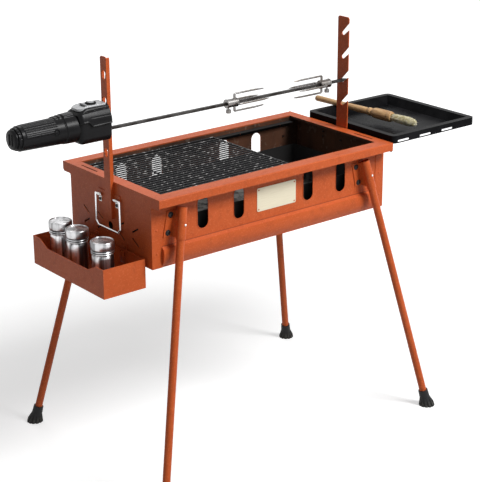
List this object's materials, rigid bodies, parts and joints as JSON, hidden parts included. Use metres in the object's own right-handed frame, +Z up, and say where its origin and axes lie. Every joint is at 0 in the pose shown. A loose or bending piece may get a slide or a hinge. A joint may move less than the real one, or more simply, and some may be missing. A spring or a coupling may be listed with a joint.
{
  "type": "rotisserie charcoal grill",
  "caption": "Charcoal grill on four plug-in legs, with a battery-driven rotisserie spit, notched posts, wire grate, hanging seasoning box and side tray.",
  "frame": {"origin": "on the ground under the middle of the whole grill, from the end of the motor unit to the end of the side tray", "axes": "+X from the motor unit to the side tray, +Y to the back, +Z up; the front with the nameplate faces -Y"},
  "size_m": [1.296, 0.6254, 1.022],
  "materials": {
    "powder_coat": "orange-copper powder coat",
    "heat_black": "heat-proof black paint",
    "grate_black": "black non-stick coating",
    "tray_black": "black non-stick coating",
    "black_screw": "black oxide",
    "nameplate": "bare satin plate, cream",
    "chrome_wire": "bright chrome",
    "bright_steel": "zinc-plated",
    "spit_steel": "stainless",
    "shaker_steel": "polished stainless",
    "black_plastic": "fine-textured moulding",
    "grey_pad": "satin grey moulding",
    "cell_jacket": "plain jacket",
    "rubber": "matt black rubber",
    "beech": "oiled beech",
    "bristle": "natural bristle"
  },
  "bodies": {
    "frame": {"front_panel": "powder_coat", "back_panel": "powder_coat", "left_end_panel": "powder_coat", "right_end_panel": "powder_coat", "bottom_panel": "powder_coat", "grate_ledges": "heat_black", "rivets": "powder_coat", "nameplate": "nameplate", "frame_screws": "black_screw", "left_post": "powder_coat", "right_post": "powder_coat", "bail_clips": "bright_steel", "gearbox_housing": "black_plastic", "hanging_collar": "bright_steel", "battery_barrel": "black_plastic", "switch_pad": "grey_pad", "switch_block": "black_plastic", "gearmotor": "bright_steel", "battery_cells": "cell_jacket", "battery_contacts": "bright_steel", "box_hooks": "powder_coat", "tray_arms": "powder_coat", "leg_bracket_lf": "powder_coat", "leg_tube_lf": "powder_coat", "foot_lf": "rubber", "leg_bracket_rf": "powder_coat", "leg_tube_rf": "powder_coat", "foot_rf": "rubber", "leg_bracket_rb": "powder_coat", "leg_tube_rb": "powder_coat", "foot_rb": "rubber", "leg_bracket_lb": "powder_coat", "leg_tube_lb": "powder_coat", "foot_lb": "rubber"},
    "spit": {"spit_rod": "spit_steel", "drive_socket": "bright_steel"},
    "left_fork": {"left_fork": "spit_steel"},
    "right_fork": {"right_fork": "spit_steel"},
    "left_fork_screw": {"left_fork_screw": "spit_steel"},
    "right_fork_screw": {"right_fork_screw": "spit_steel"},
    "switch_button": {"switch_button": "grey_pad"},
    "battery_cap": {"battery_cap": "black_plastic"},
    "bail_handle": {"bail_handle": "chrome_wire"},
    "cooking_grate": {"cooking_grate": "grate_black"},
    "charcoal_pan": {"charcoal_pan": "heat_black"},
    "seasoning_box": {"seasoning_box": "powder_coat"},
    "side_tray": {"side_tray": "tray_black"},
    "basting_brush": {"brush_handle": "beech", "brush_bristles": "bristle"},
    "shaker_1": {"shaker_1": "shaker_steel"},
    "shaker_cap_1": {"shaker_cap_1": "shaker_steel"},
    "shaker_2": {"shaker_2": "shaker_steel"},
    "shaker_cap_2": {"shaker_cap_2": "shaker_steel"},
    "shaker_3": {"shaker_3": "shaker_steel"},
    "shaker_cap_3": {"shaker_cap_3": "shaker_steel"},
    "leg_button_lf": {"leg_button_lf": "bright_steel"},
    "leg_button_rf": {"leg_button_rf": "bright_steel"},
    "leg_button_rb": {"leg_button_rb": "bright_steel"},
    "leg_button_lb": {"leg_button_lb": "bright_steel"}
  },
  "joints": [
    {"name": "spit_spin", "type": "hinge", "parent": "frame", "child": "spit", "pos_m": [-0.024, -0.008, 0.851], "axis": [1, 0, 0], "continuous": true},
    {"name": "left_fork_slide", "type": "slide", "parent": "spit", "child": "left_fork", "axis": [1, 0, 0], "range_m": [-0.33, 0.06]},
    {"name": "right_fork_slide", "type": "slide", "parent": "spit", "child": "right_fork", "axis": [1, 0, 0], "range_m": [-0.06, 0.03]},
    {"name": "left_fork_screw_turn", "type": "hinge", "parent": "left_fork", "child": "left_fork_screw", "pos_m": [-0.037, -0.008, 0.836], "axis": [0, 0, 1], "range_deg": [0, 720]},
    {"name": "right_fork_screw_turn", "type": "hinge", "parent": "right_fork", "child": "right_fork_screw", "pos_m": [0.287, -0.008, 0.836], "axis": [0, 0, 1], "range_deg": [0, 720]},
    {"name": "switch_press", "type": "slide", "parent": "frame", "child": "switch_button", "axis": [0, 0, -1], "range_m": [0, 0.002], "stiffness_N_per_m": 400},
    {"name": "battery_cap_pull", "type": "slide", "parent": "frame", "child": "battery_cap", "axis": [-1, 0, 0], "range_m": [0, 0.04]},
    {"name": "bail_swing", "type": "hinge", "parent": "frame", "child": "bail_handle", "pos_m": [-0.3948, 0, 0.682], "axis": [0, 1, 0], "range_deg": [0, 165]},
    {"name": "grate_lift", "type": "slide", "parent": "frame", "child": "cooking_grate", "axis": [0, 0, 1], "range_m": [0, 0.08]},
    {"name": "pan_lift", "type": "slide", "parent": "frame", "child": "charcoal_pan", "axis": [0, 0, 1], "range_m": [0, 0.04]},
    {"name": "seasoning_box_lift", "type": "slide", "parent": "frame", "child": "seasoning_box", "axis": [0, 0, 1], "range_m": [0, 0.018]},
    {"name": "shaker_1_lift", "type": "slide", "parent": "seasoning_box", "child": "shaker_1", "axis": [0, 0, 1], "range_m": [0, 0.08]},
    {"name": "shaker_cap_1_turn", "type": "hinge", "parent": "shaker_1", "child": "shaker_cap_1", "pos_m": [-0.46, 0.111, 0.6], "axis": [0, 0, 1], "range_deg": [0, 720]},
    {"name": "shaker_2_lift", "type": "slide", "parent": "seasoning_box", "child": "shaker_2", "axis": [0, 0, 1], "range_m": [0, 0.08]},
    {"name": "shaker_cap_2_turn", "type": "hinge", "parent": "shaker_2", "child": "shaker_cap_2", "pos_m": [-0.46, 0.037, 0.6], "axis": [0, 0, 1], "range_deg": [0, 720]},
    {"name": "shaker_3_lift", "type": "slide", "parent": "seasoning_box", "child": "shaker_3", "axis": [0, 0, 1], "range_m": [0, 0.08]},
    {"name": "shaker_cap_3_turn", "type": "hinge", "parent": "shaker_3", "child": "shaker_cap_3", "pos_m": [-0.46, -0.071, 0.6], "axis": [0, 0, 1], "range_deg": [0, 720]},
    {"name": "tray_lift", "type": "slide", "parent": "frame", "child": "side_tray", "axis": [0, 0, 1], "range_m": [0, 0.06]},
    {"name": "brush_lift", "type": "slide", "parent": "side_tray", "child": "basting_brush", "axis": [0, 0, 1], "range_m": [0, 0.08]},
    {"name": "leg_button_lf_press", "type": "slide", "parent": "frame", "child": "leg_button_lf", "axis": [-0.2642, 0.9598, -0.0952], "range_m": [0, 0.0025], "stiffness_N_per_m": 600},
    {"name": "leg_button_rf_press", "type": "slide", "parent": "frame", "child": "leg_button_rf", "axis": [-0.2053, 0.9589, -0.1961], "range_m": [0, 0.0025], "stiffness_N_per_m": 600},
    {"name": "leg_button_rb_press", "type": "slide", "parent": "frame", "child": "leg_button_rb", "axis": [0.2642, -0.9598, -0.0952], "range_m": [0, 0.0025], "stiffness_N_per_m": 600},
    {"name": "leg_button_lb_press", "type": "slide", "parent": "frame", "child": "leg_button_lb", "axis": [0.2053, -0.9589, -0.1961], "range_m": [0, 0.0025], "stiffness_N_per_m": 600}
  ]
}
